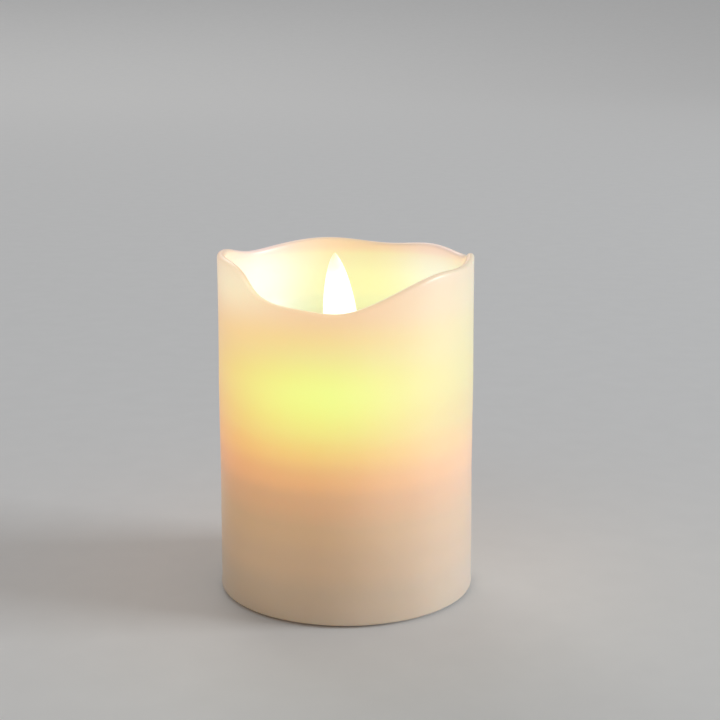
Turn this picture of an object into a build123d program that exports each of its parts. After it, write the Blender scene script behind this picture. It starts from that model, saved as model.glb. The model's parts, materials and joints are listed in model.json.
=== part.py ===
"""Flameless wax pillar candle with a swinging plastic flame.

A hollow wax shell with a melted-looking rim stands over a plastic core. The core is a base cup that holds
two AA cells behind a hinged door, a cover over the circuit board, and a split neck. In the neck a plastic
flame hangs on a steel wire, and a coil under the flame's magnet keeps it swinging while a lamp lights it.

Millimetres. +Z is up, the origin is on the table under the middle of the candle, and the front is -Y.
"""
from build123d import *
from math import cos, radians, sin, sqrt, tan
import os

# Wax shell
candle_diameter = 75.0
candle_height = 100.0      # table to the highest point of the rim
wax_wall = 5.0
wax_taper = 0.5            # how much smaller the radius is at the rim than at the foot
foot_gap = 0.6             # the wax stays this far above the table
lip_wall = 2.2             # wall at the rim
recess_depth = 26.0        # highest point of the rim to the pool
recess_corner = 9.0        # radius between the pool and the wall
pool_thickness = 3.2
# How far the rim drops below its highest point, as (angle from +X in degrees, drop). The front is at 270.
rim_drops = [
    (0, 0.6), (24, 2.3), (43, 1.4), (68, 2.5), (97, 1.1), (122, 2.1), (146, 3.0), (166, 0.6), (188, 0.0),
    (207, 0.3), (217, 2.3), (225, 6.4), (235, 9.1), (251, 10.4), (268, 11.1), (283, 8.4), (300, 4.2),
    (314, 2.0), (331, 1.8), (347, 0.7),
]

# Clearances
seat_gap = 0.3             # core to wax, and door to its opening
fit_gap = 0.15             # plastic pieces that plug into each other
loose_gap = 1.2            # moving flame to the walls around it

# Base cup
base_wall = 1.5
base_floor = 2.0
floor_recess = 0.8         # the floor's outer face above the table
seam_lap = 1.4
edge_break = 0.3           # small chamfer on the edges that a hand meets
boss_radius = 3.0
base_screw_seat = 3.4      # plastic between a base screw's head and the seam

# Cells and their bay
cell_diameter = 14.5
cell_length = 50.5
cell_nub_radius = 2.7
cell_nub_height = 1.0
cell_edge = 0.7
cell_gap = 0.4
bay_wall = 1.4
bay_roof = 1.6
contact_thickness = 0.4
contact_width = 9.0
spring_length = 3.0        # a contact spring under a fitted cell
spring_wire = 0.6
spring_turns = 3
lug_width = 2.4
lug_rise = 2.4             # contact lug above the bay's roof

# Battery door
door_thickness = 1.8
tab_width = 5.0
tab_spread = 5.5           # middle of the door to the middle of a tab
trunnion_radius = 0.45
trunnion_length = 0.9      # pivot pin beyond the side of its tab
hinge_gap = 0.05
hinge_set_out = 0.5        # hinge line further out, so that the open door hangs clear of the foot ring
latch_width = 12.0
latch_slit = 0.8
latch_length = 9.0
grip_height = 0.4

# Switch
knob_length = 4.0
knob_width = 3.0
switch_travel = 4.0        # on at one end, timer at the other, off midway
switch_length = 12.0
switch_width = 4.8
switch_height = 4.2
slider_length = 1.8
slider_height = 1.4
stake_radius = 0.9
stake_step = 0.5           # how far a pin's foot and melted head stand out
flange_thickness = 1.0

# Circuit board
board_length = 46.0
board_width = 32.0
board_thickness = 1.2
board_standoff = 2.2
board_screw_reach = 19.5   # board screws from the middle
parts_height = 6.4         # room for the parts on the board
cover_plate = 1.6
lead_radius = 0.35

# Neck
neck_wall = 1.5
neck_flange_width = 6.0
neck_flange_thickness = 1.5
collar_height = 3.6
collar_wall = 1.4
shelf_thickness = 1.4
lip_thickness = 1.2        # plastic lip round the flame's opening
lip_rise = 0.5             # lip above the pool
lip_round = 0.4
opening_width = 13.0       # front to back
ear_radius = 2.4
ear_depth = 4.0
bridge_thickness = 1.8
bridge_height = 4.0
bridge_reach = 4.6         # middle of the neck to the middle of a pivot bridge

# Flame and its drive
swing_limit = 18.0         # degrees each way
tip_drop = 0.7             # flame tip below the highest point of the rim
leaf_reach = 36.3          # pivot wire to the flame's tip
leaf_width = 10.2
leaf_thickness = 1.8
leaf_tip_place = -0.30     # tip off the wire's line, as a share of the width
# The blade's edges, as (share of its height, left share of its width, right share of its width).
leaf_edges = [
    (0.20, -0.60, 0.34), (0.40, -0.67, 0.29), (0.65, -0.65, 0.14), (0.84, -0.57, -0.03), (0.95, -0.45, -0.18),
]
stem_half_width = 1.8
stem_top = 8.5             # where the stem starts to widen into the blade
tail_reach = 17.5          # pivot wire to the magnet's underside
eyelet_radius = 2.3
eyelet_thickness = 3.0
wire_radius = 0.4
wire_gap = 0.1
magnet_radius = 3.5
magnet_height = 2.5
magnet_offset = 0.92       # to +X, so that the leaning leaf hangs in balance
cup_wall = 0.9
coil_gap = 1.8             # magnet to the coil
bobbin_radius = 9.0
bobbin_height = 8.0
bobbin_flange = 1.0
bobbin_hub = 3.4
bobbin_bore = 2.0
winding_inset = 0.7
bobbin_room = 3.2          # bobbin to the neck's wall, where the coil's leads run
coil_lead_x = 2.2

# Lamp
lamp_radius = 2.5
lamp_length = 8.6
lamp_flange_radius = 2.9
lamp_flange_height = 1.0
lamp_tilt = 24.0           # degrees from upright, towards the flame
lamp_inset = 4.6           # lamp's tip inside the neck's wall
lamp_below_flange = 1.4
lamp_gap = 0.1
socket_wall = 0.8
socket_length = 4.0
leg_spread = 1.27
window_reach = 12.0        # length of the slanted window behind the lamp

# Screws
screw_head_radius = 1.9
screw_head_height = 1.3
screw_radius = 0.95
screw_length = 8.0
board_screw_length = 4.6
pilot_gap = 0.05
slot_width = 0.5
slot_depth = 0.6

# Sizes worked out from those above
wax_radius = candle_diameter / 2
rim_radius = wax_radius - wax_taper
bore_radius = wax_radius - wax_wall
pool_top = candle_height - recess_depth
pool_under = pool_top - pool_thickness

base_radius = bore_radius - seat_gap
base_inner = base_radius - base_wall
opening_circle = base_inner - 1.0
floor_top = floor_recess + base_floor
door_top = floor_recess + door_thickness
cell_axis_z = max(door_top, floor_top) + cell_gap + cell_diameter / 2
bay_top = cell_axis_z + cell_diameter / 2 + cell_gap
seam_z = bay_top + bay_roof
bay_half_length = (cell_length + spring_length) / 2 + contact_thickness
bay_half_width = cell_diameter + 1.5 * cell_gap
cell_y = (cell_diameter + cell_gap) / 2

boss_y = max(bay_half_width + bay_wall, board_width / 2) + boss_radius + cell_gap
boss_x = sqrt((base_inner - boss_radius - cell_gap) ** 2 - boss_y**2)
boss_places = [(x, y) for x in (-boss_x, boss_x) for y in (-boss_y, boss_y)]

knob_flange_half = knob_length / 2 + switch_travel + 2 * seat_gap
stake_x = knob_flange_half + switch_travel / 2 + stake_radius + stake_step + seat_gap
switch_y = bay_half_width + bay_wall + cell_gap + switch_width / 2
flange_low = floor_top + 0.1
slider_low = flange_low + flange_thickness + 0.1
switch_low = slider_low + slider_height + 0.3

board_low = seam_z + board_standoff
board_top = board_low + board_thickness
cover_top = board_top + parts_height + cover_plate

pivot_z = candle_height - tip_drop - leaf_reach
swing = radians(swing_limit)
magnet_low = pivot_z - tail_reach
cup_radius = magnet_radius + cup_wall
cup_top = magnet_low + magnet_height + cup_wall
coil_top = magnet_low - coil_gap
coil_low = coil_top - bobbin_height
shelf_low = coil_low - shelf_thickness

tail_swing_reach = tail_reach * sin(swing) + (cup_radius + magnet_offset) * cos(swing)
neck_inner = max(tail_swing_reach + loose_gap, bobbin_radius + bobbin_room)
neck_outer = neck_inner + neck_wall
flange_top = pool_under - seat_gap
neck_flange_radius = neck_outer + neck_flange_width
collar_inner = neck_outer + fit_gap
collar_outer = collar_inner + collar_wall
lip_top = pool_top + lip_rise
leaf_side = leaf_width * max(max(abs(left), abs(right)) for _, left, right in leaf_edges)
leaf_swing_reach = (lip_top - pivot_z) * tan(swing) + leaf_side / cos(swing)
opening_length = 2 * (leaf_swing_reach + loose_gap)
ear_x = neck_outer + ear_radius - 0.4
ear_low = max(coil_low + 2.0, cover_top + collar_height + seat_gap + ear_radius)
ear_z = (ear_low, pivot_z - ear_radius)

tilt = radians(lamp_tilt)
lamp_tip_y = -(neck_inner - lamp_inset)
lamp_tip_z = flange_top - neck_flange_thickness - lamp_below_flange
lamp_base_y = lamp_tip_y - lamp_length * sin(tilt)
lamp_base_z = lamp_tip_z - lamp_length * cos(tilt)

GROUND = (Align.CENTER, Align.CENTER, Align.MIN)


def rod(radius, low, high, x=0.0, y=0.0):
    """An upright cylinder between two heights."""
    return Pos(x, y, low) * Cylinder(radius, high - low, align=GROUND)


def bar(radius, start, end, x=0.0, z=0.0):
    """A cylinder along Y."""
    return Pos(x, (start + end) / 2, z) * Rot(90, 0, 0) * Cylinder(radius, end - start)


def block(x, y, z):
    """A box given as three (low, high) pairs."""
    size = [high - low for low, high in (x, y, z)]
    middle = [(high + low) / 2 for low, high in (x, y, z)]
    return Pos(*middle) * Box(*size)


def span(middle, size):
    """The two ends of a size centred on a place."""
    return middle - size / 2, middle + size / 2


def ring(outer, inner, low, high):
    """An upright tube between two heights."""
    return rod(outer, low, high) - rod(inner, low - 1, high + 1)


def stadium(length, width, low, high):
    """An upright prism with round ends, its length along X."""
    return extrude(Pos(0, 0, low) * SlotOverall(length, width), high - low)


def tube_along(points, radii, radius):
    """A round wire along straight runs joined by tangent arcs."""
    path = FilletPolyline(*points, radius=radii)
    return sweep(Plane(origin=path @ 0, z_dir=path % 0) * Circle(radius), path=path)


def bend_radii(points):
    """The largest arc at each corner: 0.45 of its shorter run over the tangent of half its turn."""
    places = [Vector(*p) for p in points]
    runs = [b - a for a, b in zip(places, places[1:])]
    radii = []
    for run, after in zip(runs, runs[1:]):
        half_turn = radians(run.get_angle(after)) / 2
        radii.append(0.45 * min(run.length, after.length) / tan(half_turn))
    return radii


def lead(points):
    """One insulated wire. Its bend radii are printed."""
    radii = bend_radii(points)
    print("lead bend radii", [round(r, 2) for r in radii])
    return tube_along(points, radii, lead_radius)


def screw(length=screw_length):
    """A pan-head screw pointing down, its head standing on z = 0."""
    head = rod(screw_head_radius, 0, screw_head_height)
    head = chamfer(head.edges().group_by(Axis.Z)[-1], 0.3)
    slots = block((-1.2, 1.2), (-slot_width / 2, slot_width / 2), (screw_head_height - slot_depth, 5))
    slots += Rot(0, 0, 90) * slots
    return head - slots + rod(screw_radius, -length, 0)


def rim_curve(radius):
    """The closed wavy line of the rim at one radius."""
    points = []
    for angle, drop in rim_drops:
        turn = radians(angle)
        points.append((radius * cos(turn), radius * sin(turn), candle_height - drop))
    return Spline(*points, periodic=True)


def opening_outline(width_change):
    """The battery opening's outline, widened by an amount."""
    outline = Rectangle(2 * (bay_half_length + width_change), 2 * (bay_half_width + width_change))
    return outline & Circle(opening_circle + width_change)


def wax_shell():
    """The poured shell: a tapered wall, a pool across it near the top, and the wavy rim."""
    wall = Polyline(
        (0, foot_gap), (wax_radius, foot_gap), (rim_radius, candle_height + 5), (0, candle_height + 5),
        close=True,
    )
    shell = revolve(Plane.XZ * make_face(wall), Axis.Z)
    foot = shell.edges().group_by(Axis.Z)[0]
    shell = chamfer(foot, 0.5)
    shell -= rod(bore_radius, -1, pool_under)
    bowl_radius = rim_radius - lip_wall
    bowl = rod(bowl_radius, pool_top, candle_height + 10)
    bowl = fillet(bowl.edges().group_by(Axis.Z)[0], recess_corner)
    shell -= bowl
    wave = Face.make_surface_from_curves(rim_curve(wax_radius + 4), rim_curve(bowl_radius - 4))
    shell -= extrude(wave, amount=40, dir=(0, 0, 1))
    return shell - stadium(opening_length + 2 * (lip_thickness + seat_gap),
                           opening_width + 2 * (lip_thickness + seat_gap), pool_under - 1, pool_top + 1)


def base_cup():
    """The base: a foot ring, a recessed floor, the battery bay and the screw bosses."""
    cup = rod(base_radius, 0, seam_z)
    cup -= rod(base_inner, floor_top, seam_z + 1)
    cup -= rod(base_inner, -1, floor_recess)
    cup = chamfer(cup.edges().group_by(Axis.Z)[0], edge_break)
    cup += ring(base_inner + base_wall / 2, base_inner, seam_z, seam_z + seam_lap)
    bay_length = 2 * (bay_half_length + bay_wall)
    bay_width = 2 * (bay_half_width + bay_wall)
    bay = block(span(0, bay_length), span(0, bay_width), (floor_recess, seam_z))
    cup += bay & rod(base_radius, 0, seam_z)
    pocket = block(span(0, 2 * bay_half_length), span(0, 2 * bay_half_width), (floor_top, bay_top))
    cup -= pocket & rod(base_inner, 0, seam_z)
    cup -= extrude(opening_outline(0), floor_top + 0.01)
    for x, y in boss_places:
        cup += rod(boss_radius, floor_recess, seam_z, x, y)
    for x, y in boss_places:
        cup -= rod(screw_head_radius + seat_gap, -1, seam_z - base_screw_seat, x, y)
        cup -= rod(screw_radius + fit_gap, 0, seam_z + 1, x, y)
    pilot_low = board_top - board_screw_length - 0.1
    for x in (-board_screw_reach, board_screw_reach):
        cup += rod(boss_radius, seam_z, board_low, x)
        cup -= rod(screw_radius + pilot_gap, pilot_low, board_low + 1, x)
    return cup - door_sockets() - contact_slots() - switch_slot() + switch_stakes()


def door_sockets():
    """The slots that the door's tabs turn in, and the notch for its latch."""
    sockets = []
    reach = door_thickness / 2 + seat_gap
    for side in (-1, 1):
        y = side * tab_spread
        sockets.append(block((hinge_x() - reach, -bay_half_length + 1), span(y, tab_width + 2 * seat_gap),
                             (-1, hinge_z() + reach + 0.4)))
        pin_room = tab_width + 2 * trunnion_length + 0.2
        sockets.append(bar(trunnion_radius + hinge_gap, *span(y, pin_room), hinge_x(), hinge_z()))
    sockets.append(block((bay_half_length - 1, bay_half_length + 1.3), span(0, latch_width - 2 * latch_slit),
                         (-1, door_top + 1.6)))
    return sum(sockets[1:], sockets[0])


def hinge_x():
    """The door turns about the middle of its round tabs."""
    return -(bay_half_length + seat_gap + door_thickness / 2 + hinge_set_out)


def hinge_z():
    """The hinge line is at mid thickness of the door."""
    return floor_recess + door_thickness / 2


def contact_slots():
    """Slits in the bay's roof for the contacts' soldering lugs."""
    slits = []
    for y in (-cell_y, cell_y):
        slits.append(block((bay_half_length - contact_thickness - 0.05, bay_half_length + 0.05),
                           span(y, lug_width + 0.2), (bay_top - 1, seam_z + 1)))
    return slits[0] + slits[1]


def switch_slot():
    """The slot in the floor that the switch knob slides in."""
    slot_length = knob_length + switch_travel + 2 * seat_gap
    return block(span(0, slot_length), span(switch_y, knob_width + 2 * seat_gap), (0, floor_top + 0.01))


def switch_stakes():
    """Two melted pins that hold the switch's ears."""
    pins = []
    for x in (-stake_x, stake_x):
        pins.append(rod(stake_radius + stake_step, floor_top, switch_low, x, switch_y))
        pins.append(rod(stake_radius, switch_low, switch_low + 0.6, x, switch_y))
        pins.append(rod(stake_radius + stake_step, switch_low + 0.6, switch_low + 1.1, x, switch_y))
    return sum(pins[1:], pins[0])


def battery_door():
    """The door: a plate with two round tabs at one end and a sprung latch at the other."""
    door = extrude(Pos(0, 0, floor_recess) * opening_outline(-seat_gap), door_thickness)
    door = chamfer(door.edges().group_by(Axis.Z)[0], edge_break)
    radius = door_thickness / 2
    for side in (-1, 1):
        y = side * tab_spread
        tab = (hinge_x(), -bay_half_length + seat_gap + 1)
        door += block(tab, span(y, tab_width), (floor_recess, door_top))
        door += bar(radius, *span(y, tab_width), hinge_x(), hinge_z())
        door += bar(trunnion_radius, *span(y, tab_width + 2 * trunnion_length), hinge_x(), hinge_z())
    edge = bay_half_length - seat_gap
    for side in (-1, 1):
        y = side * latch_width / 2
        door -= block((edge - latch_length, edge + 1), span(y, latch_slit), (0, door_top + 1))
    nib_width = latch_width - 2 * (latch_slit + seat_gap)
    door += block((edge - 1.2, edge + 1.0), span(0, nib_width), (door_top - 0.8, door_top + 0.9))
    for step in range(3):
        x = edge - 3.0 - 1.8 * step
        ridge = (floor_recess - grip_height, floor_recess + 0.1)
        door += block(span(x, 0.8), span(0, latch_width / 1.5), ridge)
    return door


def switch_knob():
    """The knob: a ribbed finger pad under the floor and a sliding flange above it."""
    x = -switch_travel / 2
    pad_low = floor_recess - grip_height
    knob = block(span(x, knob_length), span(switch_y, knob_width), (pad_low, flange_low + 0.1))
    knob = chamfer(knob.edges().group_by(Axis.Z)[0], edge_break)
    for step in (-1, 0, 1):
        knob -= block(span(x + step * 1.1, 0.4), span(switch_y, 2 * knob_width), (0, floor_recess - 0.1))
    flange = (flange_low, flange_low + flange_thickness)
    knob += block(span(x, 2 * knob_flange_half), span(switch_y, switch_width), flange)
    fork_top = slider_low + slider_height - 0.3
    for side in (-1, 1):
        prong = x + side * (slider_length / 2 + 0.6)
        knob += block(span(prong, 1.0), span(switch_y, 2.4), (flange_low, fork_top))
    return knob


def switch_slider():
    """The switch's own lever, held in the knob's fork."""
    x = -switch_travel / 2
    return block(span(x, slider_length), span(switch_y, 1.8), (slider_low, switch_low - 0.05))


def switch_body():
    """The slide switch: a metal can with an ear at each end, over a small base."""
    can_top = switch_low + switch_height
    can = block(span(0, switch_length), span(switch_y, switch_width), (switch_low, can_top))
    ears = extrude(Pos(0, switch_y, switch_low) * SlotOverall(2 * stake_x + 2 * stake_radius + 2.4, 4.2), 0.5)
    for x in (-stake_x, stake_x):
        ears -= rod(stake_radius + 0.05, switch_low - 1, switch_low + 2, x, switch_y)
    body = can + ears
    for x in (-2.5, 0, 2.5):
        body += block(span(x, 0.8), span(switch_y, 0.5), (can_top, can_top + 2))
    return body


def cell(direction, y):
    """One AA cell lying along X, with its button at the end that the direction points to."""
    body = fillet(Cylinder(cell_diameter / 2, cell_length - cell_nub_height).edges(), cell_edge)
    nub = Pos(0, 0, cell_length / 2 - cell_nub_height / 2) * Cylinder(cell_nub_radius, cell_nub_height + 0.4)
    upright = body + nub
    top = upright.bounding_box().max.Z
    laid = Rot(0, 90 * direction, 0) * Pos(0, 0, -top) * upright
    end = direction * (bay_half_length - contact_thickness)
    return Pos(end, y, cell_axis_z) * laid


def contact_plate(side, y, width):
    """A flat contact standing against the end wall of the bay."""
    middle = side * (bay_half_length - contact_thickness / 2)
    return block(span(middle, contact_thickness), span(y, width), span(cell_axis_z, contact_width))


def lug_plate(y):
    """A contact with a strip that goes up through the roof."""
    strip = (bay_half_length - contact_thickness, bay_half_length)
    lug = block(strip, span(y, lug_width), (cell_axis_z, seam_z + lug_rise))
    return contact_plate(1, y, contact_width) + lug


def contact_spring(side, y):
    """A coned spring between a contact and a cell's flat end."""
    height = spring_length - spring_wire - 0.2
    outer = contact_width / 2 - spring_wire
    inner = outer / 2
    steps = 8 * spring_turns
    points = []
    for step in range(steps + 1):
        share = step / steps
        radius = outer + (inner - outer) * share
        turn = radians(360 * spring_turns * share)
        points.append((radius * cos(turn), radius * sin(turn), height * share))
    coil = Spline(*points)
    wound = sweep(Plane(origin=coil @ 0, z_dir=coil % 0) * Circle(spring_wire / 2), path=coil)
    foot = side * (bay_half_length - contact_thickness - spring_wire / 2 - 0.1)
    return Pos(foot, y, cell_axis_z) * Rot(0, -90 * side, 0) * wound


def core_cover():
    """The cover over the board: a shallow drum with a collar for the neck."""
    cover = rod(base_radius, seam_z, cover_top)
    cover -= rod(base_inner, seam_z - 1, cover_top - cover_plate)
    cover -= rod(base_inner + base_wall / 2 + fit_gap, seam_z - 1, seam_z + seam_lap + 0.1)
    cover = chamfer(cover.edges().group_by(Axis.Z)[-1], 0.8)
    cover += ring(collar_outer, collar_inner, cover_top - 0.2, cover_top + collar_height)
    pilot_high = seam_z + screw_length - base_screw_seat + 0.5
    for x, y in boss_places:
        cover += rod(boss_radius, seam_z, cover_top - 0.2, x, y)
        cover -= rod(screw_radius + pilot_gap, seam_z - 1, pilot_high, x, y)
    plate_cut = (cover_top - cover_plate - 1, cover_top + 1)
    for x in (-coil_lead_x, coil_lead_x):
        cover -= rod(1.6, *plate_cut, x, coil_lead_y())
    return cover - Pos(0, lamp_lead_y(), 0) * stadium(6.0, 2.4, *plate_cut)


def coil_lead_y():
    """The coil's leads run down behind the bobbin."""
    return bobbin_radius + 1.7


def lamp_lead_y():
    """The lamp's leads run down in front of the collar."""
    return -(collar_outer + 1.5)


def neck_tube():
    """The whole neck, before it is split: tube, top flange, lip, shelf and screw ears."""
    neck = rod(neck_outer, cover_top, flange_top)
    neck += rod(neck_flange_radius, flange_top - neck_flange_thickness, flange_top)
    lip_length = opening_length + 2 * lip_thickness
    lip_width = opening_width + 2 * lip_thickness
    neck += stadium(lip_length, lip_width, flange_top - 0.5, lip_top)
    neck -= rod(neck_inner, cover_top - 1, shelf_low)
    neck -= rod(neck_inner, coil_low, flange_top - neck_flange_thickness)
    neck -= rod(bobbin_bore, shelf_low - 1, coil_low + 1)
    neck -= stadium(opening_length, opening_width, flange_top - neck_flange_thickness - 1, lip_top + 1)
    neck = fillet(neck.edges().group_by(Axis.Z)[-1], lip_round)
    neck -= block((-3.4, 3.4), (coil_lead_y() - 1.0, neck_inner), (shelf_low - 1, coil_low + 1))
    for z in ear_z:
        for x in (-ear_x, ear_x):
            neck += bar(ear_radius, -ear_depth, ear_depth + 1, x, z) - rod(neck_inner, z - 5, z + 5)
    for z in ear_z:
        for x in (-ear_x, ear_x):
            neck -= bar(screw_radius + fit_gap, -ear_depth - 1, 0, x, z)
            neck -= bar(screw_radius + pilot_gap, -0.1, screw_length - ear_depth + 0.3, x, z)
    for y in (-bridge_reach, bridge_reach):
        strip = block(span(0, 2 * neck_outer), span(y, bridge_thickness), span(pivot_z, bridge_height))
        neck += strip & rod(neck_outer - 0.2, 0, flange_top)
    return neck - bar(wire_radius + 0.02, -bridge_reach - 5, bridge_reach + 5, 0, pivot_z)


def lamp_frame():
    """The lamp's own axis: origin at its base, +Z towards the flame."""
    return Pos(0, lamp_base_y, lamp_base_z) * Rot(-lamp_tilt, 0, 0)


def neck_front():
    """The front half of the neck, with the lamp's slanted socket."""
    half = neck_tube() & block((-60, 60), (-60, -0.02), (0, lip_top + 1))
    socket_radius = lamp_radius + lamp_gap + socket_wall
    half += lamp_frame() * rod(socket_radius, lamp_flange_height, lamp_flange_height + socket_length)
    half -= lamp_frame() * rod(lamp_radius + lamp_gap, 0, lamp_length)
    return half - lamp_frame() * rod(lamp_flange_radius + lamp_gap, -window_reach, lamp_flange_height + 0.05)


def neck_rear():
    """The rear half of the neck."""
    return neck_tube() & block((-60, 60), (0.02, 60), (0, lip_top + 1))


def pivot_wire():
    """The steel wire that the flame hangs on."""
    end = bridge_reach + bridge_thickness / 2
    return bar(wire_radius, -end, end, 0, pivot_z)


def flame_leaf():
    """The flame: a leaf above the wire and a stem with an eyelet and a magnet cup below it."""
    blade_height = leaf_reach - stem_top
    tip = (leaf_tip_place * leaf_width, leaf_reach)
    left = [(share * leaf_width, stem_top + height * blade_height) for height, share, _ in leaf_edges]
    right = [(share * leaf_width, stem_top + height * blade_height) for height, _, share in leaf_edges]
    left_edge = Spline((-stem_half_width, stem_top), *left, tip, tangents=((0, 1), (1, 0.7)))
    right_edge = Spline((stem_half_width, stem_top), *right, tip, tangents=((0, 1), (-1, 1.6)))
    sole = Line(right_edge @ 0, left_edge @ 0)
    blade = extrude(Plane.XZ * make_face([right_edge, left_edge, sole]), leaf_thickness / 2, both=True)
    leaf = Pos(0, 0, pivot_z) * blade
    stem = (cup_top - 0.2, pivot_z + stem_top + 0.6)
    leaf += block(span(0, 2 * stem_half_width), span(0, leaf_thickness), stem)
    leaf += bar(eyelet_radius, *span(0, eyelet_thickness), 0, pivot_z)
    leaf += rod(cup_radius, magnet_low, cup_top, magnet_offset)
    leaf -= rod(magnet_radius + 0.05, magnet_low - 1, magnet_low + magnet_height, magnet_offset)
    return leaf - bar(wire_radius + wire_gap, -5, 5, 0, pivot_z)


def coil_bobbin():
    """The bobbin: a hub between two flanges."""
    bobbin = rod(bobbin_radius, coil_low, coil_low + bobbin_flange)
    bobbin += rod(bobbin_radius, coil_top - bobbin_flange, coil_top)
    bobbin += rod(bobbin_hub, coil_low, coil_top)
    return bobbin - rod(bobbin_bore, coil_low - 1, coil_top + 1)


def coil_winding():
    """The copper winding on the bobbin."""
    return ring(bobbin_radius - winding_inset, bobbin_hub, coil_low + bobbin_flange, coil_top - bobbin_flange)


def flame_lamp():
    """The lamp: a domed lens on a flange."""
    lens = rod(lamp_radius, 0, lamp_length - lamp_radius)
    lens += Pos(0, 0, lamp_length - lamp_radius) * Sphere(lamp_radius)
    return lamp_frame() * (lens + rod(lamp_flange_radius, 0, lamp_flange_height))


def circuit_board():
    """The board, on its two standoffs."""
    board = extrude(Pos(0, 0, board_low) * RectangleRounded(board_length, board_width, 3), board_thickness)
    for side in (-1, 1):
        board -= rod(screw_radius + fit_gap, board_low - 1, board_top + 1, side * board_screw_reach)
    return board


def controller_chip():
    """The eight-legged chip that times and drives the candle."""
    chip = block((-2.5, 2.5), (-2.0, 2.0), (board_top + 0.2, board_top + 1.7))
    for x in (-1.905, -0.635, 0.635, 1.905):
        chip += block(span(x, 0.4), span(0, 6.0), (board_top + 0.4, board_top + 0.6))
        for y in (-2.8, 2.8):
            chip += block(span(x, 0.4), span(y, 0.4), (board_top, board_top + 0.6))
    return chip


def drive_transistor():
    """The transistor that switches the coil."""
    body = block((7.0, 9.9), (3.4, 4.8), (board_top + 0.15, board_top + 1.15))
    for x, y in ((7.5, 2.9), (9.4, 2.9), (8.45, 5.3)):
        body += block(span(x, 0.4), span(y, 1.4), (board_top, board_top + 0.3))
    return body


def filter_capacitor():
    """The round capacitor lying on the board."""
    can = Rot(0, 90, 0) * fillet(Cylinder(2.5, 7.0).edges(), 0.4)
    return Pos(-10.5, -8.0, board_top + 2.55) * can


def timer_crystal():
    """The small tube-shaped crystal of the timer."""
    can = Rot(0, 90, 0) * fillet(Cylinder(1.0, 6.0).edges(), 0.2)
    return Pos(-9.5, 3.0, board_top + 1.05) * can


def board_resistors():
    """Four chip resistors in a row."""
    return Compound([block(span(x, 1.6), span(-6, 0.8), (board_top, board_top + 0.5)) for x in (2, 5, 8, 11)])


def battery_leads(y):
    """One lead from a contact's lug over to the board."""
    lug_x = bay_half_length - contact_thickness - lead_radius - 0.02
    pad_x = lug_x - 5.4
    top = board_top + 4.6
    return lead([(lug_x, y, seam_z + 1.0), (lug_x, y, top), (pad_x, y, top), (pad_x, y, board_top + 0.02)])


def coil_leads():
    """Two leads from the winding down to the board."""
    start = bobbin_radius - winding_inset + 0.1
    middle = (coil_low + coil_top) / 2
    y = coil_lead_y()
    return Compound([
        lead([(x, sqrt(start**2 - x**2) + lead_radius, middle + 1.2), (x, y, middle - 1.2),
              (x, y, board_top + 0.02)])
        for x in (-coil_lead_x, coil_lead_x)
    ])


def lamp_leads():
    """The lamp's two legs and their leads, down the front of the neck to the board."""
    y = lamp_lead_y()
    run = (lamp_base_y - y) / sin(tilt)
    turn_z = lamp_base_z - run * cos(tilt)
    pad_y = -board_width / 2 + 1.4
    step_z = cover_top - cover_plate - 1.0
    return Compound([
        lead([(x, lamp_base_y, lamp_base_z), (x, y, turn_z), (x, y, step_z),
              (x, pad_y, step_z - 2.6), (x, pad_y, board_top + 0.02)])
        for x in (-leg_spread, leg_spread)
    ])


def switch_leads():
    """Two leads from the switch's pins up to the board."""
    start = switch_low + switch_height + 1.0
    pad_y = board_width / 2 - 2.0
    top = board_top + 4.4
    return Compound([
        lead([(x + 0.8, switch_y, start), (x + 0.8, switch_y, top), (x + 0.8, pad_y, top),
              (x + 0.8, pad_y, board_top + 0.02)])
        for x in (-2.5, 0)
    ])


def base_screws():
    """Four screws from below, through the base into the cover."""
    head_z = seam_z - base_screw_seat
    upward = Rot(180, 0, 0) * screw()
    return Compound([Pos(x, y, head_z) * upward for x, y in boss_places])


def neck_screws():
    """Four screws that pull the neck's halves together."""
    backward = Rot(90, 0, 0) * screw()
    return Compound([Pos(x, -ear_depth, z) * backward for z in ear_z for x in (-ear_x, ear_x)])


def board_screws():
    """Two screws that hold the board."""
    places = (-board_screw_reach, board_screw_reach)
    return Compound([Pos(x, 0, board_top) * screw(board_screw_length) for x in places])


nodes = {
    "wax_shell": wax_shell(),
    "base_cup": base_cup(),
    "battery_door": battery_door(),
    "core_cover": core_cover(),
    "neck_front": neck_front(),
    "neck_rear": neck_rear(),
    "pivot_wire": pivot_wire(),
    "flame_leaf": flame_leaf(),
    "flame_magnet": rod(magnet_radius, magnet_low, magnet_low + magnet_height - 0.02, magnet_offset),
    "coil_bobbin": coil_bobbin(),
    "coil_winding": coil_winding(),
    "flame_lamp": flame_lamp(),
    "circuit_board": circuit_board(),
    "controller_chip": controller_chip(),
    "drive_transistor": drive_transistor(),
    "filter_capacitor": filter_capacitor(),
    "timer_crystal": timer_crystal(),
    "board_resistors": board_resistors(),
    "cell_front": cell(-1, -cell_y),
    "cell_rear": cell(1, cell_y),
    "negative_plate": lug_plate(-cell_y),
    "negative_spring": contact_spring(1, -cell_y),
    "positive_plate": lug_plate(cell_y),
    "bridge_plate": contact_plate(-1, 0, 2 * cell_y + contact_width),
    "bridge_spring": contact_spring(-1, cell_y),
    "switch_body": switch_body(),
    "switch_slider": switch_slider(),
    "switch_knob": switch_knob(),
    "base_screws": base_screws(),
    "neck_screws": neck_screws(),
    "board_screws": board_screws(),
    "positive_lead": battery_leads(cell_y),
    "negative_lead": battery_leads(-cell_y),
    "coil_leads": coil_leads(),
    "lamp_leads": lamp_leads(),
    "switch_leads": switch_leads(),
}

os.makedirs("parts", exist_ok=True)
for name, shape in nodes.items():
    export_step(shape, f"parts/{name}.step")
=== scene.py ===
import json
from math import atan2, cos, degrees, hypot, pi, radians, sin

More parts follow.
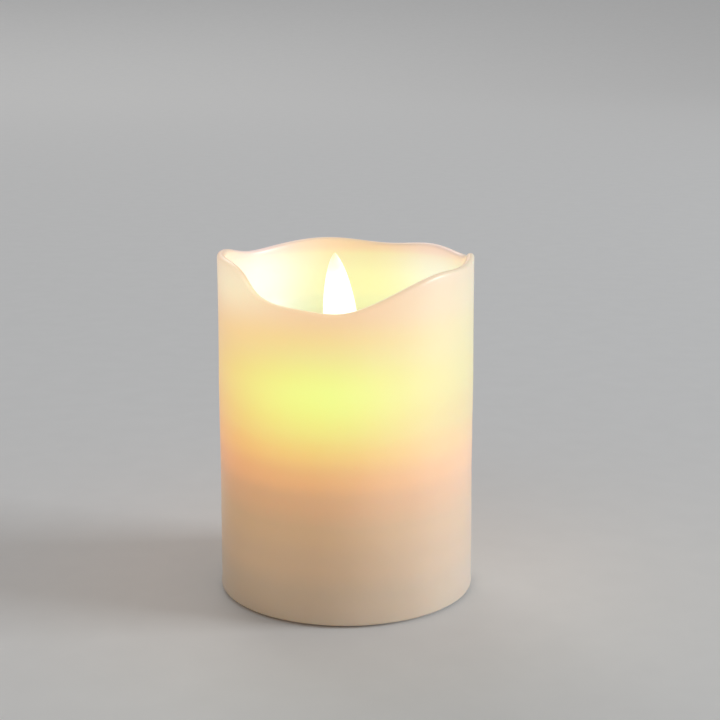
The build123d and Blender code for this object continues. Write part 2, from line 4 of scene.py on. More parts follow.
import bpy
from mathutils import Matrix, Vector, noise


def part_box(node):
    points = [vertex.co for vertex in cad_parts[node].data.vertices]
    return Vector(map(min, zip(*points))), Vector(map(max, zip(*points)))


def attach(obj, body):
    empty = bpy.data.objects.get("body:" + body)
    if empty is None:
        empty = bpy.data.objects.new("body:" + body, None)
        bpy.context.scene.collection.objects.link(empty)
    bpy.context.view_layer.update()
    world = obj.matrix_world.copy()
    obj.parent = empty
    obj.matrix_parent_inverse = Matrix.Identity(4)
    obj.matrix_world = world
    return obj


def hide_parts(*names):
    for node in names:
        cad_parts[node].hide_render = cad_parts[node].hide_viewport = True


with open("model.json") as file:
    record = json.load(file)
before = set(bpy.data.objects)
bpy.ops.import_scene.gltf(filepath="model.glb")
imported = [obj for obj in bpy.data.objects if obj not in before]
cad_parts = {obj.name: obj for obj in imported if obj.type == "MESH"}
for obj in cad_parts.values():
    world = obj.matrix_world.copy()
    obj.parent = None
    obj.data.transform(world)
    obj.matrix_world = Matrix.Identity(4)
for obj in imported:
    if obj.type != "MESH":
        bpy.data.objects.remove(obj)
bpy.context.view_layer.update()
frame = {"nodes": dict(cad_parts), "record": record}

nodes = frame["nodes"]
merge_distance = 1e-6

# ---------------------------------------------------------------------------------------------------------
# The wax shell. It is poured cream paraffin wax, 5 mm thick, with a soft low sheen and faint hand marks.
# The rim is melted into waves and rounded over, and the lamp's glow through the wall is painted into the
# wax's emission, in a band.

wax_low, wax_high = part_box("wax_shell")
wax_foot_radius = wax_high.x - 0.00004
wax_rim_radius = wax_foot_radius - 0.0005
wax_bore_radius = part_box("base_cup")[1].x + 0.0003
wax_lip_wall = 0.0022
wax_foot_round = 0.0008
lip_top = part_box("neck_front")[1].z
pool_top = lip_top - 0.0005
pool_under = pool_top - 0.0032
bowl_corner = 0.009
wave_foot = pool_top + bowl_corner
wax_columns = 240
hole_radius = 0.0095             # the hole is turned round, then stretched to its true long shape
hole_half_length = 0.01362
hole_half_width = 0.0080
hole_stretch_ends = 0.023        # the stretch fades out to this radius
hole_edge_round = 0.0006
wall_rows = 60
bowl_rows = 12
pool_rings = (0.0230, 0.0205, 0.0180, 0.0155, 0.0130, 0.0112)
broad_marks = 60                 # hand marks: how many to the metre, how deep, and how far they sink
broad_depth = 0.00018
broad_sink = 0.0001
broad_stretch = 0.7              # they are drawn out upright
fine_marks = 210
fine_depth = 0.00003
marks_from_radius = wax_bore_radius + 0.0005
marks_from_height = wax_low.z + 0.002
lip_blend = 0.0006               # half the width over which the inside's glow meets the outside's
glow_scale = 10.0                # a glow's stops are heights in tenths of a metre
spot_fall = 0.244                # what is left of a spot at one size from its middle
# The lamp's light painted as glow by height: first through the wall outside, then on the bowl inside.
painted_outside_glow = [
    (0.000, (0.020, 0.010, 0.002)), (0.080, (0.060, 0.030, 0.006)), (0.180, (0.140, 0.060, 0.008)),
    (0.280, (0.205, 0.088, 0.008)), (0.360, (0.310, 0.105, 0.006)), (0.430, (0.500, 0.150, 0.008)),
    (0.500, (0.610, 0.220, 0.012)), (0.570, (0.620, 0.270, 0.030)), (0.690, (0.630, 0.340, 0.060)),
    (0.800, (0.620, 0.350, 0.110)), (0.900, (0.600, 0.320, 0.170)), (1.000, (0.570, 0.280, 0.180)),
]
painted_inside_glow = [
    (0.740, (0.320, 0.280, 0.110)), (0.752, (0.370, 0.430, 0.180)), (0.780, (0.400, 0.550, 0.240)),
    (0.870, (0.390, 0.530, 0.220)), (0.925, (0.370, 0.440, 0.200)), (0.970, (0.380, 0.270, 0.150)),
    (1.000, (0.400, 0.280, 0.160)),
]
# Spots of painted light: where the middle is, how far it spreads, and the colour added. Outside, the place
# is
# the turn from the front and the height: the lamp's lemon core, then a pale painted patch of light on the
# left shoulder.
painted_outside_light_spots = [
    ((-0.22, 0.0645), (0.95, 0.0175), (0.000, 0.420, 0.040)),
    ((-1.00, 0.095), (0.75, 0.0110), (0.050, 0.280, 0.205)),
]
# Inside, the place is across, along and up: painted highlights where the lamp's beam lights the bowl's back
# wall, left and right.
painted_inside_highlights = [
    ((-0.026, 0.020, 0.086), (0.021, 0.026, 0.016), (0.000, 0.060, 0.420)),
    ((0.027, 0.019, 0.089), (0.017, 0.024, 0.014), (0.030, 0.080, 0.300)),
]
# Painted fill light on the right side, which makes it paler, most of all above the foot: its middle, its
# spread, light added, colour kept.
fill_light_turn = 1.25
fill_light_spread = 1.15
painted_fill_light = (0.000, 0.040, 0.080)
fill_light_kept_colour = (0.55, 1.0, 1.0)
fill_light_kept_from, fill_light_kept_full = 0.035, 0.055


def deselect():
    """Nothing selected, and out of edit mode."""
    if bpy.context.object and bpy.context.object.mode == "EDIT":
        bpy.ops.object.mode_set(mode="OBJECT")
    bpy.ops.object.select_all(action="DESELECT")


def turn_outline(name, outline, steps):
    """A solid of revolution: a closed chain of points (radius, height), spun about the upright axis."""
    deselect()
    bpy.ops.mesh.primitive_plane_add(size=0.001, location=(outline[0][0], 0, outline[0][1]))
    piece = bpy.context.object
    piece.name = name
    bpy.ops.object.transform_apply(location=True, rotation=False, scale=False)
    bpy.ops.object.mode_set(mode="EDIT")
    bpy.ops.mesh.merge(type="CENTER")
    for (r0, z0), (r1, z1) in zip(outline, outline[1:] + outline[:1]):
        bpy.ops.mesh.extrude_region_move(TRANSFORM_OT_translate={"value": (r1 - r0, 0, z1 - z0)})
    bpy.ops.mesh.select_all(action="SELECT")
    bpy.ops.mesh.remove_doubles(threshold=merge_distance)
    bpy.ops.mesh.spin(steps=steps, angle=2 * pi, center=(0, 0, 0), axis=(0, 0, 1))
    bpy.ops.mesh.select_all(action="SELECT")
    bpy.ops.mesh.remove_doubles(threshold=merge_distance)
    bpy.ops.mesh.normals_make_consistent(inside=False)
    bpy.ops.object.mode_set(mode="OBJECT")
    return piece


def arc(radius, middle, start, end, count):
    """Points of an arc in the (radius, height) plane, from one angle to another, in degrees."""
    turns = [radians(start + (end - start) * k / count) for k in range(count + 1)]
    return [(middle[0] + radius * cos(a), middle[1] + radius * sin(a)) for a in turns]


def wax_outline():
    """The wall, the rounded lip, the bowl, the pool, its hole and the bore, from the foot to the foot."""
    foot_z = wax_low.z
    foot_middle = (wax_foot_radius - wax_foot_round, foot_z + wax_foot_round)
    lip = wax_lip_wall / 2
    wall_top = wax_high.z - lip
    wall = []
    for k in range(1, wall_rows):
        share = k / wall_rows
        z = foot_middle[1] + (wall_top - foot_middle[1]) * share
        wall.append((wax_foot_radius + (wax_rim_radius - wax_foot_radius) * share, z))
    crest = arc(lip, (wax_rim_radius - lip, wall_top), 0, 180, 10)
    bowl_radius = wax_rim_radius - wax_lip_wall
    bowl = [(bowl_radius, wall_top - (wall_top - wave_foot) * k / bowl_rows) for k in range(1, bowl_rows)]
    corner = arc(bowl_corner, (bowl_radius - bowl_corner, wave_foot), 0, -90, 14)
    pool = [(r, pool_top) for r in (*pool_rings, hole_radius + hole_edge_round)]
    edge_middle = (hole_radius + hole_edge_round, pool_top - hole_edge_round)
    edge = arc(hole_edge_round, edge_middle, 90, 180, 3)[1:]
    under = [(hole_radius, pool_under), (0.0150, pool_under), (hole_stretch_ends, pool_under)]
    bore = [(wax_bore_radius, pool_under + (foot_z - pool_under) * k / 10) for k in range(11)]
    foot = [(foot_middle[0], foot_z)] + arc(wax_foot_round, foot_middle, -60, 0, 3)
    return foot + wall + crest + bowl + corner + pool + edge + under + bore


def rim_height(turn):
    """The height of the frame's rim at an angle about the axis."""
    reach = wax_rim_radius - wax_lip_wall / 2
    start = Vector((reach * cos(turn), reach * sin(turn), wax_high.z + 0.03))
    hit, place, _, _ = nodes["wax_shell"].ray_cast(start, Vector((0, 0, -1)))
    return place.z if hit else wax_high.z


def hole_stretch(x, y):
    """How far a point near the round hole moves out, so that the hole is long with round ends."""
    reach = hypot(x, y)
    turn = atan2(y, x)
    flat = hole_half_length - hole_half_width
    across = abs(sin(turn))
    along = abs(cos(turn))
    if hole_half_width * along <= flat * across:
        edge = hole_half_width / across
    else:
        edge = flat * along + (hole_half_width**2 - (flat * across) ** 2) ** 0.5
    fade = min((hole_stretch_ends - reach) / (hole_stretch_ends - hole_radius), 1)
    return (reach + (edge - hole_radius) * fade) / reach


wax = turn_outline("wax", wax_outline(), wax_columns)
drops = {}
for v in wax.data.vertices:
    reach = hypot(v.co.x, v.co.y)
    turn = atan2(v.co.y, v.co.x)
    if v.co.z > wave_foot and reach > hole_stretch_ends:
        key = round(degrees(turn), 2)
        if key not in drops:
            drops[key] = wax_high.z - rim_height(turn)
        rise = (v.co.z - wave_foot) / (wax_high.z - wax_lip_wall / 2 - wave_foot)
        v.co.z -= drops[key] * min(rise, 1)
    if reach < hole_stretch_ends and v.co.z > pool_under - 0.0002:
        grow = hole_stretch(v.co.x, v.co.y)
        v.co.x *= grow
        v.co.y *= grow
    if reach > marks_from_radius and v.co.z > marks_from_height:
        broad_place = Vector((v.co.x, v.co.y, v.co.z * broad_stretch)) * broad_marks
        dent = noise.noise(broad_place) * broad_depth - broad_sink
        dent += noise.noise(v.co * fine_marks) * fine_depth - fine_depth
        v.co.x *= 1 + dent / reach
        v.co.y *= 1 + dent / reach
deselect()
wax.select_set(True)
bpy.context.view_layer.objects.active = wax
bpy.ops.object.shade_smooth_by_angle(angle=radians(40))


class Maker:
    """A material's nodes, added and wired one at a time."""

    def __init__(self, name):
        self.material = bpy.data.materials.new(name)
        self.material.use_nodes = True
        self.tree = self.material.node_tree
        self.shader = self.tree.nodes["Principled BSDF"]

    def add(self, kind, **settings):
        node = self.tree.nodes.new(kind)
        for key, value in settings.items():
            if key in node.bl_rna.properties:
                setattr(node, key, value)
            else:
                node.inputs[key.replace("_", " ")].default_value = value
        return node

    def wire(self, source, target):
        """A link from an output, or a fixed value."""
        if isinstance(source, bpy.types.NodeSocket):
            self.tree.links.new(source, target)
        elif isinstance(source, tuple) and target.type == "RGBA":
            target.default_value = (*source, 1)
        else:
            target.default_value = source

    def math(self, operation, a, b=0.0, clamp=False):
        node = self.add("ShaderNodeMath", operation=operation, use_clamp=clamp)
        self.wire(a, node.inputs[0])
        self.wire(b, node.inputs[1])
        return node.outputs[0]

    def ramp(self, source, stops, mode="EASE"):
        node = self.add("ShaderNodeValToRGB")
        node.color_ramp.interpolation = mode
        ends = node.color_ramp.elements
        while len(ends) < len(stops):
            ends.new(0.5)
        for element, (place, colour) in zip(ends, stops):
            element.position = place
            element.color = (*colour, 1)
        self.wire(source, node.inputs[0])
        return node.outputs[0]

    def mix(self, share, a, b, blend="MIX"):
        node = self.add("ShaderNodeMix", data_type="RGBA", blend_type=blend)
        for socket, value in zip((node.inputs[0], node.inputs[6], node.inputs[7]), (share, a, b)):
            self.wire(value, socket)
        return node.outputs[2]

    def range(self, source, low, high, start=0.0, end=1.0, kind="LINEAR"):
        node = self.add("ShaderNodeMapRange", interpolation_type=kind)
        for socket, value in zip(node.inputs, (source, start, end, low, high)):
            self.wire(value, socket)
        return node.outputs[0]

    def place(self):
        """Object coordinates as a vector, and as three numbers."""
        source = self.add("ShaderNodeTexCoord").outputs["Object"]
        parts = self.add("ShaderNodeSeparateXYZ")
        self.wire(source, parts.inputs[0])
        return source, parts.outputs

    def speckle(self, source, scale, detail=3.0, roughness=0.5):
        node = self.add("ShaderNodeTexNoise", Scale=scale, Detail=detail, Roughness=roughness)
        self.wire(source, node.inputs["Vector"])
        return node.outputs[0]

    def bump(self, height, strength, distance):
        node = self.add("ShaderNodeBump", Strength=strength, Distance=distance)
        self.wire(height, node.inputs["Height"])
        self.wire(node.outputs[0], self.shader.inputs["Normal"])

    def set(self, **values):
        for key, value in values.items():
            self.wire(value, self.shader.inputs[key.replace("_", " ")])

    def paint(self, *pieces):
        for piece in pieces:
            piece.data.materials.clear()
            piece.data.materials.append(self.material)


def spot(m, values, middles, sizes):
    """One in the middle, fading all round to a half at 0.7 of the sizes and then to nothing."""
    total = 0.0
    for value, middle, size in zip(values, middles, sizes):
        offset = m.math("DIVIDE", m.math("SUBTRACT", value, middle), size)
        total = m.math("ADD", m.math("MULTIPLY", offset, offset), total)
    return m.math("POWER", spot_fall, total)


def add_glow(m, share, glow, colour):
    """More light of one colour, by a share."""
    return m.mix(share, glow, m.mix(1.0, glow, colour, "ADD"))


def wax_material():
    """Cream wax: soft cloudy colour, low sheen, the lamp's glow painted into the emission by height and by
    side, and painted fill light on the right.
    """
    m = Maker("cream_wax_painted_glow")
    place, (x, y, z) = m.place()
    cloud = m.speckle(place, 45.0, 4.0, 0.55)
    colour = m.mix(cloud, (0.72, 0.54, 0.37), (0.80, 0.615, 0.435))
    # The emission is painted light: the lamp's glow through the wall outside, and its light on the bowl
    # inside.
    height = m.math("MULTIPLY", z, glow_scale)
    outside = m.ramp(height, painted_outside_glow)
    turn = m.math("ARCTAN2", x, m.math("MULTIPLY", y, -1.0))
    for middle, size, colour_added in painted_outside_light_spots:
        outside = add_glow(m, spot(m, (turn, z), middle, size), outside, colour_added)
    # Painted fill light and sheen on the right side: bluish light added, and the glow's red held back there
    # above the foot.
    right = spot(m, (turn,), (fill_light_turn,), (fill_light_spread,))
    outside = add_glow(m, right, outside, painted_fill_light)
    painted_fill_share = m.math("MULTIPLY", right, m.range(z, 0.0, 1.0, fill_light_kept_from, fill_light_kept_full))
    outside = m.mix(painted_fill_share, outside, m.mix(1.0, outside, fill_light_kept_colour, "MULTIPLY"))
    inside = m.ramp(height, painted_inside_glow)
    for middle, size, colour_added in painted_inside_highlights:
        inside = add_glow(m, spot(m, (x, y, z), middle, size), inside, colour_added)
    reach = m.math("SQRT", m.math("ADD", m.math("MULTIPLY", x, x), m.math("MULTIPLY", y, y)))
    edge = wax_rim_radius - wax_lip_wall / 2
    inner = m.range(reach, 1.0, 0.0, edge - lip_blend, edge + lip_blend, "SMOOTHSTEP")
    high = m.math("GREATER_THAN", z, pool_under + 0.001)
    glow = m.mix(m.math("MULTIPLY", inner, high), outside, inside)
    m.set(Base_Color=colour, Roughness=0.42, Subsurface_Weight=0.35, Subsurface_Scale=0.004)
    m.set(Subsurface_Radius=(1.0, 0.6, 0.3), Emission_Color=glow, Emission_Strength=1.0)
    m.set(Coat_Weight=0.8, Coat_Roughness=0.33, Specular_IOR_Level=0.5)
    m.bump(m.speckle(place, 160.0, 4.0, 0.6), 0.12, 0.0006)
    return m


wax_material().paint(wax)
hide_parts("wax_shell")
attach(wax, "candle")

# ---------------------------------------------------------------------------------------------------------
# The base cup, the battery door and the core cover. They are moulded in one cream ABS, finely sparked so
# that they look matt. The cup is pushed up inside the wax and glued, and only its underside is seen.


def moulded(name, colour, roughness=0.55, grain=900.0, depth=0.00003):
    """Moulded plastic with a fine spark-eroded grain."""
    m = Maker(name)
    place, _ = m.place()
    cloud = m.speckle(place, 30.0, 2.0, 0.5)
    darker = tuple(c * 0.9 for c in colour)
    fine = m.speckle(place, grain, 2.0, 0.6)
    m.set(Base_Color=m.mix(cloud, darker, colour), Specular_IOR_Level=0.45)
    m.set(Roughness=m.range(fine, roughness - 0.08, roughness + 0.08))
    m.bump(fine, 0.5, depth)
    return m


cream = (0.74, 0.68, 0.56)
moulded("base_plastic", cream).paint(nodes["base_cup"], nodes["core_cover"])
moulded("door_plastic", tuple(c * 0.97 for c in cream)).paint(nodes["battery_door"])

# ---------------------------------------------------------------------------------------------------------
# The switch. A black nylon knob and lever slide in the floor's slot, under a small tinned steel can whose
# ears are held on two melted pins.


def metal(name, colour, roughness, scratch=600.0, stretch=(1, 1, 12), streak=0.08):
    """Bare or plated metal with fine drawn scratches."""
    m = Maker(name)
    place, _ = m.place()
    stretched = m.add("ShaderNodeMapping", Scale=stretch)
    m.wire(place, stretched.inputs[0])
    lines = m.speckle(stretched.outputs[0], scratch, 3.0, 0.6)
    darker = tuple(c * 0.85 for c in colour)
    m.set(Base_Color=m.mix(lines, darker, colour), Metallic=1.0)
    m.set(Roughness=m.range(lines, roughness - streak, roughness + streak))
    m.bump(lines, 0.15, 0.00002)
    return m


moulded("black_nylon", (0.022, 0.022, 0.024), 0.45).paint(nodes["switch_knob"], nodes["switch_slider"])
metal("tinned_steel", (0.62, 0.62, 0.63), 0.32).paint(nodes["switch_body"])

# ---------------------------------------------------------------------------------------------------------
# The contacts, their springs, the crystal's can and the magnet are steel, stamped, wound or pressed, with a
# bright nickel plate. The screws are zinc plated, and the flame's wire is bare spring steel.

metal("nickel_plate", (0.72, 0.70, 0.66), 0.2).paint(
    nodes["negative_plate"], nodes["positive_plate"], nodes["bridge_plate"],
    nodes["negative_spring"], nodes["bridge_spring"], nodes["timer_crystal"], nodes["flame_magnet"],
)
metal("zinc_screws", (0.56, 0.57, 0.60), 0.34).paint(
    nodes["base_screws"], nodes["neck_screws"], nodes["board_screws"]
)
metal("spring_steel", (0.60, 0.60, 0.60), 0.25).paint(nodes["pivot_wire"])

# ---------------------------------------------------------------------------------------------------------
# The two AA cells. Each is a steel can in a printed plastic sleeve: a graphite body, a copper band at the
# button end, and bare nickel at both ends.

bare_end_radius = 0.0062
copper = (0.55, 0.25, 0.10)
graphite = (0.03, 0.032, 0.036)


def cell_sleeve(name, direction):
    """The sleeve's colours along the cell, with the bare steel ends inside its rolled edge."""
    low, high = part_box(name)
    m = Maker(name + "_sleeve")
    place, (x, y, z) = m.place()
    button_end, flat_end = (low.x, high.x) if direction < 0 else (high.x, low.x)
    run = m.range(x, 0.0, 1.0, button_end, flat_end)
    side = m.math("SUBTRACT", y, (low.y + high.y) / 2)
    up = m.math("SUBTRACT", z, (low.z + high.z) / 2)
    reach = m.math("SQRT", m.math("ADD", m.math("MULTIPLY", side, side), m.math("MULTIPLY", up, up)))
    bare = m.math("LESS_THAN", reach, bare_end_radius)
    band = m.ramp(run, [(0.0, copper), (0.27, graphite), (0.93, copper)], "CONSTANT")
    gloss = m.speckle(place, 300.0, 2.0, 0.5)
    m.set(Base_Color=m.mix(bare, band, (0.66, 0.65, 0.62)), Coat_Weight=0.6, Coat_Roughness=0.12)
    m.set(Roughness=m.range(gloss, 0.26, 0.38), Metallic=m.math("MAXIMUM", bare, 0.35))
    m.bump(gloss, 0.08, 0.00005)
    m.paint(nodes[name])


cell_sleeve("cell_front", -1)
cell_sleeve("cell_rear", 1)

# ---------------------------------------------------------------------------------------------------------
# The circuit board and what is soldered to it. The board is glass epoxy with green resist over the copper,
# the chips are black epoxy, and the capacitor has a dark blue sleeve.


def board_material():
    """Green resist with copper runs under it and a woven glass grain."""
    m = Maker("green_board")
    place, _ = m.place()
    runs = m.add("ShaderNodeTexBrick", Scale=210.0, Mortar_Size=0.03, Color1=(0.010, 0.085, 0.032, 1),
                 Color2=(0.012, 0.100, 0.038, 1), Mortar=(0.030, 0.170, 0.060, 1))
    m.wire(place, runs.inputs["Vector"])
    m.set(Base_Color=runs.outputs[0], Roughness=0.32, Coat_Weight=0.4, Coat_Roughness=0.15)
    m.bump(m.speckle(place, 1400.0, 2.0, 0.5), 0.2, 0.00002)
    return m


board_material().paint(nodes["circuit_board"])
moulded("chip_epoxy", (0.018, 0.018, 0.020), 0.5).paint(
    nodes["controller_chip"], nodes["drive_transistor"], nodes["board_resistors"]
)
moulded("capacitor_sleeve", (0.015, 0.030, 0.110), 0.3, 300.0).paint(nodes["filter_capacitor"])

# ---------------------------------------------------------------------------------------------------------
# The leads. Stranded wire in soft PVC, red and black from the cells, blue from the switch, white to the
# lamp, all soldered down to the board.

for lead, colour in (
    ("positive_lead", (0.42, 0.015, 0.012)),
    ("negative_lead", (0.020, 0.020, 0.022)),
    ("switch_leads", (0.020, 0.055, 0.28)),
    ("lamp_leads", (0.62, 0.60, 0.55)),
):
    moulded(lead + "_pvc", colour, 0.38, 500.0).paint(nodes[lead])

# ---------------------------------------------------------------------------------------------------------
# The coil. Enamelled copper wire, wound in level layers on a black bobbin, with its two ends brought down
# behind it to the board.


def copper_material():
    """Enamelled copper with the ridges of the turns showing, with painted shade between the turns and
    painted highlight on them.
    """
    m = Maker("enamelled_copper")
    place, _ = m.place()
    turns = m.add("ShaderNodeTexWave", wave_type="BANDS", bands_direction="Z", Scale=900.0, Distortion=0.4)
    m.wire(place, turns.inputs["Vector"])
    # Darker between the turns and lighter on them: painted shade and highlight on the round wire.
    m.set(Base_Color=m.mix(turns.outputs[1], (0.30, 0.075, 0.022), (0.62, 0.21, 0.075)))
    m.set(Metallic=0.9, Roughness=0.28, Coat_Weight=0.5, Coat_Roughness=0.1)
    m.bump(turns.outputs[1], 0.6, 0.0001)
    return m


copper_material().paint(nodes["coil_winding"], nodes["coil_leads"])
moulded("bobbin_nylon", (0.020, 0.020, 0.022), 0.4).paint(nodes["coil_bobbin"])

# ---------------------------------------------------------------------------------------------------------
# The neck. Two moulded halves in milky plastic, screwed together round the wire, the coil and the lamp.
# Their lip stands in the pool round the flame, and the lamp's light on it from below is painted on as a
# glow.


def neck_material():
    """Milky plastic with the lamp's light from inside painted on as a glow, most of all near the top."""
    m = moulded("milky_neck_painted_glow", (0.78, 0.72, 0.60), 0.42, 700.0)
    _, (_, _, z) = m.place()
    glow = m.ramp(m.math("MULTIPLY", z, glow_scale), [
        (0.50, (0.02, 0.014, 0.006)),
        (0.64, (0.40, 0.28, 0.09)),
        (0.76, (0.62, 0.50, 0.20)),
    ])
    m.set(Emission_Color=glow, Emission_Strength=0.8)
    return m


neck_material().paint(nodes["neck_front"], nodes["neck_rear"])

# ---------------------------------------------------------------------------------------------------------
# The lamp. A clear warm-white 5 mm lamp, cast in epoxy, pushed up its slanted socket so that its beam falls
# on the flame.

m = Maker("lamp_epoxy")
place, _ = m.place()
m.set(Base_Color=(0.98, 0.86, 0.55), Roughness=0.08, IOR=1.5, Transmission_Weight=0.5)
m.set(Emission_Color=(1.0, 0.82, 0.45), Emission_Strength=3.0)
m.bump(m.speckle(place, 400.0), 0.03, 0.00003)
m.paint(nodes["flame_lamp"])

# ---------------------------------------------------------------------------------------------------------
# The flame. One moulding in frosted plastic: a leaf, thick in the middle and thin at its edges, over a stem
# with an eyelet on the wire and a cup for the magnet. The lamp's beam on it is painted on as a glow: white,
# with a yellow tip.

swing_joint = next(j for j in frame["record"]["behaviour"]["joints"] if j["name"] == "flame_swing")
pivot_z = swing_joint["pos_m"][2]
flame_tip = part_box("flame_leaf")[1].z + 0.0005
blade_foot = pivot_z + 0.0085
blade_half_thickness = 0.0009
blade_thickness_share = 0.55     # no ring is thicker than this share of its width
blade_cap = 0.0003               # from the last ring to the tip
blade_overlap = 0.0006           # how far the stem runs up into the blade
pole_sink = 0.0002               # how far the blade's lower point is under its foot
pole_gap = 0.00002
ring_slack = 0.0002              # points this close in height belong to one ring
# The blade's edges: height above its foot as a share, then its left and right edges from the wire's line.
blade_edges = [
    (0.00, -0.0018, 0.0018), (0.05, -0.0030, 0.0022), (0.12, -0.0048, 0.0030), (0.20, -0.0060, 0.0034),
    (0.30, -0.0066, 0.0034), (0.40, -0.0067, 0.0031), (0.52, -0.0066, 0.0025), (0.64, -0.0063, 0.0016),
    (0.76, -0.0058, 0.0006), (0.86, -0.0052, -0.0005), (0.93, -0.0046, -0.0015), (0.975, -0.0040, -0.0023),
    (1.00, -0.0035, -0.0029),
]


def flame_stem():
    """The frame's stem, eyelet and cup, cut off where the blade starts."""
    deselect()
    stem = nodes["flame_leaf"].copy()
    stem.data = nodes["flame_leaf"].data.copy()
    for key in [k for k in stem.keys() if k.startswith("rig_")]:
        del stem[key]
    bpy.context.scene.collection.objects.link(stem)
    stem.parent = None
    stem.select_set(True)
    bpy.context.view_layer.objects.active = stem
    bpy.ops.object.mode_set(mode="EDIT")
    bpy.ops.mesh.select_all(action="SELECT")
    bpy.ops.mesh.remove_doubles(threshold=merge_distance)
    cut = (0, 0, blade_foot + blade_overlap)
    bpy.ops.mesh.bisect(plane_co=cut, plane_no=(0, 0, 1), use_fill=True, clear_outer=True)
    bpy.ops.object.mode_set(mode="OBJECT")
    return stem


def flame_blade():
    """The leaf: a ball of rings, each ring drawn out to the leaf's edges at its height."""
    rings = len(blade_edges)
    deselect()
    bpy.ops.mesh.primitive_uv_sphere_add(segments=28, ring_count=rings + 1, radius=1.0, location=(0, 0, 0))
    blade = bpy.context.object
    bpy.ops.object.mode_set(mode="EDIT")
    bpy.ops.mesh.select_all(action="DESELECT")
    bpy.ops.object.mode_set(mode="OBJECT")
    levels = sorted({round(v.co.z, 4) for v in blade.data.vertices})
    rows = {
        level: [v.index for v in blade.data.vertices if abs(v.co.z - level) < ring_slack] for level in levels
    }
    for number, level in enumerate(levels):
        height, left, right = blade_edges[min(max(number - 1, 0), rings - 1)]
        if number == 0:
            goal_z, half = blade_foot - pole_sink, 0.0
        elif number == len(levels) - 1:
            goal_z, half = flame_tip - pole_gap, 0.0
        else:
            goal_z = blade_foot + (flame_tip - blade_cap - blade_foot) * height
            half = (right - left) / 2
        for index in rows[level]:
            blade.data.vertices[index].select = True
        bpy.ops.object.mode_set(mode="EDIT")
        if half:
            thick = min(blade_half_thickness, half * blade_thickness_share)
            ring_radius = hypot(*blade.data.vertices[rows[level][0]].co.xy)
            grow = (half / ring_radius, thick / ring_radius, 1)
            bpy.ops.transform.resize(value=grow, center_override=(0, 0, level))
        bpy.ops.transform.translate(value=((left + right) / 2, 0, goal_z - level))
        bpy.ops.mesh.select_all(action="DESELECT")
        bpy.ops.object.mode_set(mode="OBJECT")
    smooth = blade.modifiers.new("smooth", "SUBSURF")
    smooth.levels = 1
    smooth.render_levels = 1
    bpy.ops.object.modifier_apply(modifier="smooth")
    return blade


stem = flame_stem()
flame = flame_blade()
flame.name = "flame"
stem.select_set(True)
bpy.context.view_layer.objects.active = flame
bpy.ops.object.join()
bpy.ops.object.shade_smooth_by_angle(angle=radians(35))
m = Maker("frosted_flame_painted_glow")
place, (_, _, z) = m.place()
height = m.range(z, 0.0, 1.0, pivot_z, flame_tip)
# The lamp's beam on the leaf, painted as glow by height: white in the middle, yellow towards the tip.
glow = m.ramp(height, [
    (0.00, (0.55, 0.40, 0.16)), (0.25, (1.00, 0.93, 0.70)), (0.45, (1.00, 1.00, 0.94)),
    (0.78, (0.90, 0.90, 0.78)), (0.91, (0.68, 0.64, 0.40)), (1.00, (0.50, 0.42, 0.18)),
])
m.set(Base_Color=m.mix(m.speckle(place, 260.0), (0.90, 0.86, 0.76), (0.96, 0.93, 0.86)), Roughness=0.35)
m.set(Emission_Color=glow, Emission_Strength=1.15, Subsurface_Weight=0.3, Subsurface_Scale=0.002)
m.bump(m.speckle(place, 500.0), 0.08, 0.00005)
m.paint(flame)
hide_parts("flame_leaf")
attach(flame, "flame")

# ---------------------------------------------------------------------------------------------------------
# The stage. A plain pale floor that curves up a little all round, soft studio light and the camera.

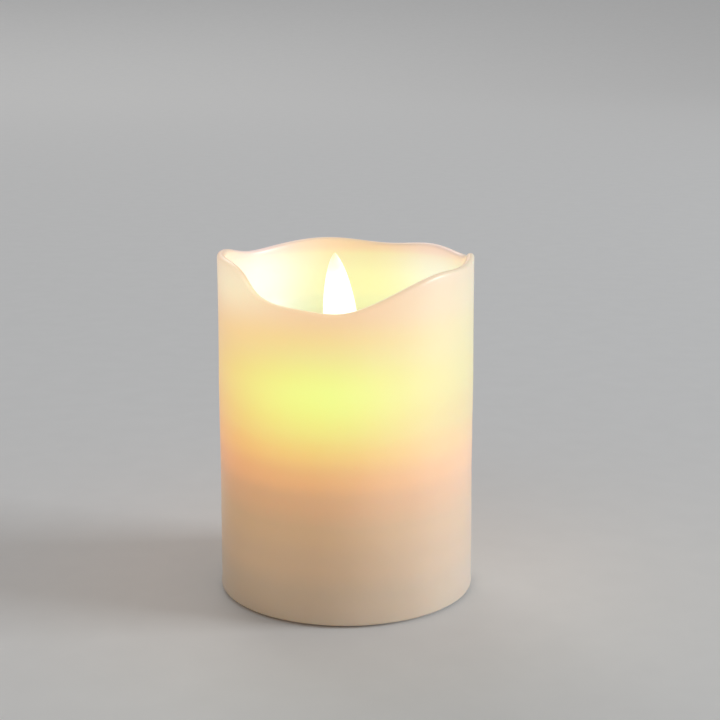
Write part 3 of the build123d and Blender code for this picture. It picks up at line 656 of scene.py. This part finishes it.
floor_radius = 2.6
cove_radius = 4.0
cove_bend = 24
cove_steps = 12
deselect()
bpy.ops.mesh.primitive_circle_add(vertices=96, radius=floor_radius, fill_type="NGON", location=(0, 0, 0))
floor = bpy.context.object
floor.name = "floor"
bpy.ops.object.mode_set(mode="EDIT")
bpy.ops.mesh.select_all(action="SELECT")
bpy.ops.mesh.region_to_loop()
reach, rise = floor_radius, 0.0
for k in range(1, cove_steps + 1):
    bend = radians(cove_bend * k / cove_steps)
    next_reach = floor_radius + cove_radius * sin(bend)
    next_rise = cove_radius * (1 - cos(bend))
    bpy.ops.mesh.extrude_edges_move(TRANSFORM_OT_translate={"value": (0, 0, next_rise - rise)})
    grow = next_reach / reach
    bpy.ops.transform.resize(value=(grow, grow, 1), center_override=(0, 0, next_rise))
    reach, rise = next_reach, next_rise
bpy.ops.object.mode_set(mode="OBJECT")
bpy.ops.object.shade_smooth()
m = Maker("pale_floor")
place, _ = m.place()
m.set(Base_Color=m.mix(m.speckle(place, 80.0, 3.0), (0.78, 0.77, 0.75), (0.82, 0.81, 0.79)), Roughness=0.8)
m.paint(floor)


def soft_light(name, place, aim, size, power, colour=(1, 1, 1)):
    """A square soft light, aimed at a point."""
    light = bpy.data.lights.new(name, "AREA")
    light.size = size
    light.energy = power
    light.color = colour
    holder = bpy.data.objects.new(name, light)
    bpy.context.scene.collection.objects.link(holder)
    holder.location = place
    holder.rotation_euler = (Vector(aim) - Vector(place)).to_track_quat("-Z", "Y").to_euler()


soft_light("key", (-1.25, -2.75, 2.2), (0, 0, 0.05), 2.2, 8.1, (1, 0.99, 0.97))
soft_light("fill", (2.91, -0.36, 0.95), (0, 0, 0.05), 1.25, 55.0, (0.88, 0.94, 1.0))
soft_light("back", (-0.75, 3.0, 2.2), (0, 0, 0.06), 2.0, 19.0)

world = bpy.data.worlds.new("studio")
bpy.context.scene.world = world
world.use_nodes = True
world.node_tree.nodes["Background"].inputs[0].default_value = (0.96, 0.97, 1.0, 1)
world.node_tree.nodes["Background"].inputs[1].default_value = 0.31
bpy.context.scene.view_settings.view_transform = "Standard"

camera_pitch = 13.07             # degrees down from level
camera_turn = -0.385
camera = bpy.data.cameras.new("camera")
camera.sensor_width = 36.0
camera.lens = 76.1
camera.clip_start = 0.01
eye = bpy.data.objects.new("camera", camera)
bpy.context.scene.collection.objects.link(eye)
eye.location = (0.00114, -0.43265, 0.16848)
eye.rotation_euler = (radians(90 - camera_pitch), 0, radians(camera_turn))
bpy.context.scene.camera = eye
